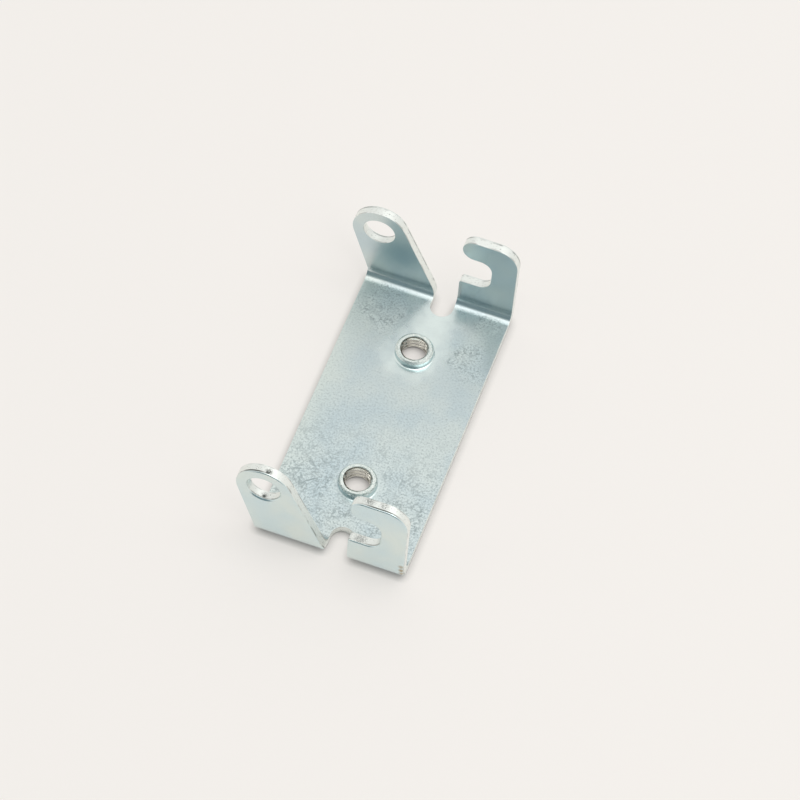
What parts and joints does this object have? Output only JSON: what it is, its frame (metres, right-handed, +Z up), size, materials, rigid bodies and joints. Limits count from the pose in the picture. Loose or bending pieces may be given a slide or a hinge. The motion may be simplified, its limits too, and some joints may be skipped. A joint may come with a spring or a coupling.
{
  "type": "stamped metal bracket",
  "caption": "Zinc-plated folded sheet bracket: a flat base with tapped collars, and end walls split into a leaning eye ear and an open hook ear.",
  "frame": {"origin": "middle of the underside of the base, where the bracket rests", "axes": "+X across the base towards the hook ears, +Y along the base, +Z up from the base along the ears"},
  "size_m": [0.0338, 0.066, 0.0222],
  "materials": {
    "zinc_plated_steel": "zinc-plated sheet steel, pale passivated, finely grained and satin, brighter along its sheared edges"
  },
  "bodies": {
    "root": {"bracket": "zinc_plated_steel"}
  },
  "joints": []
}
